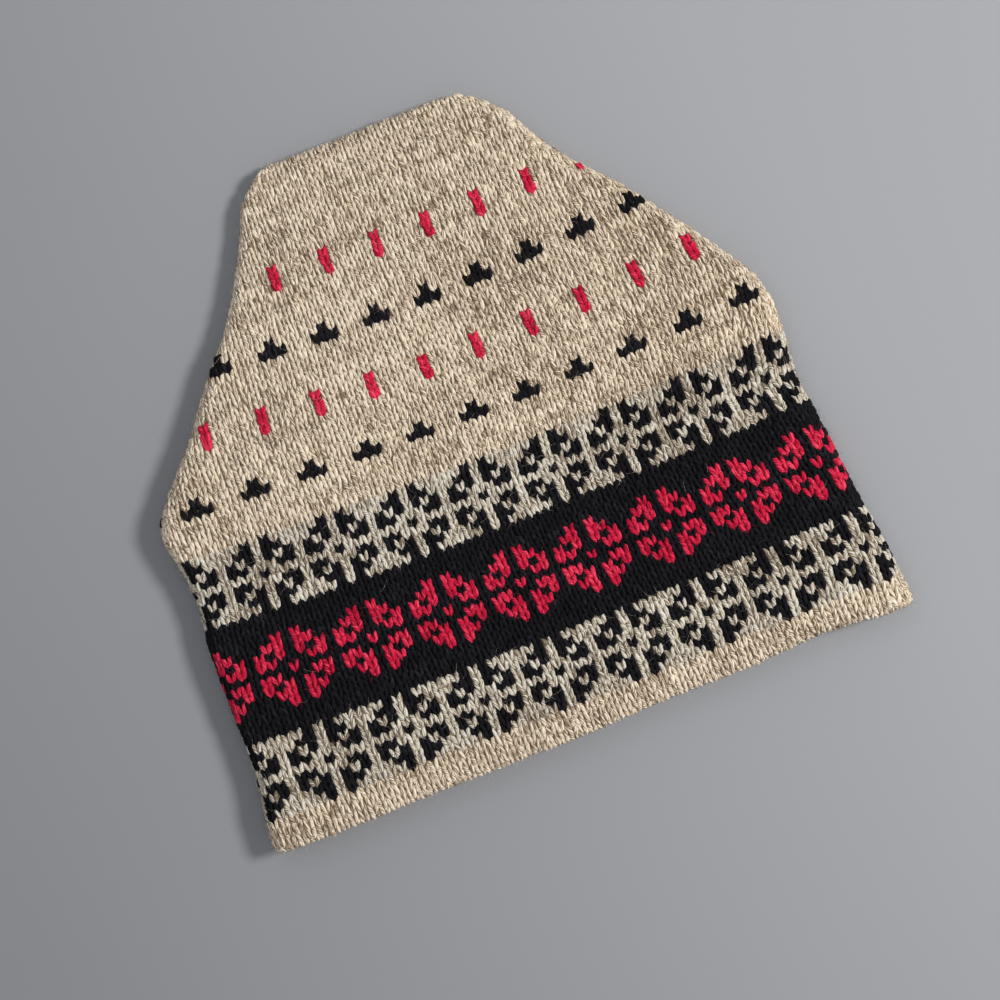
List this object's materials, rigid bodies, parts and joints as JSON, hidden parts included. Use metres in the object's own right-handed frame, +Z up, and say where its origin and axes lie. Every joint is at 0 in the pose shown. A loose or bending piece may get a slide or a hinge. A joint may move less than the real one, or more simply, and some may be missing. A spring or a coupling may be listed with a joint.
{
  "type": "stranded-knit wool beanie lying flat",
  "caption": "Flat-lying knitted wool beanie with a turned hem, flower-patterned colourwork band and slant-sided closed crown.",
  "frame": {"origin": "middle of the underside of the hat as it lies flat, on the surface that it lies on", "axes": "+X along the hem, +Y from the turned hem to the closed top of the crown, +Z up through the layer that shows"},
  "size_m": [0.2402, 0.2266, 0.0205],
  "materials": {
    "beige_wool": "marled beige wool knit, matt and slightly hairy",
    "black_wool": "near-black wool knit, matt and slightly hairy",
    "red_wool": "crimson wool knit, matt"
  },
  "bodies": {
    "root": {"turned_hem": "beige_wool", "colourwork_band": "black_wool", "crown": "beige_wool"}
  },
  "joints": []
}
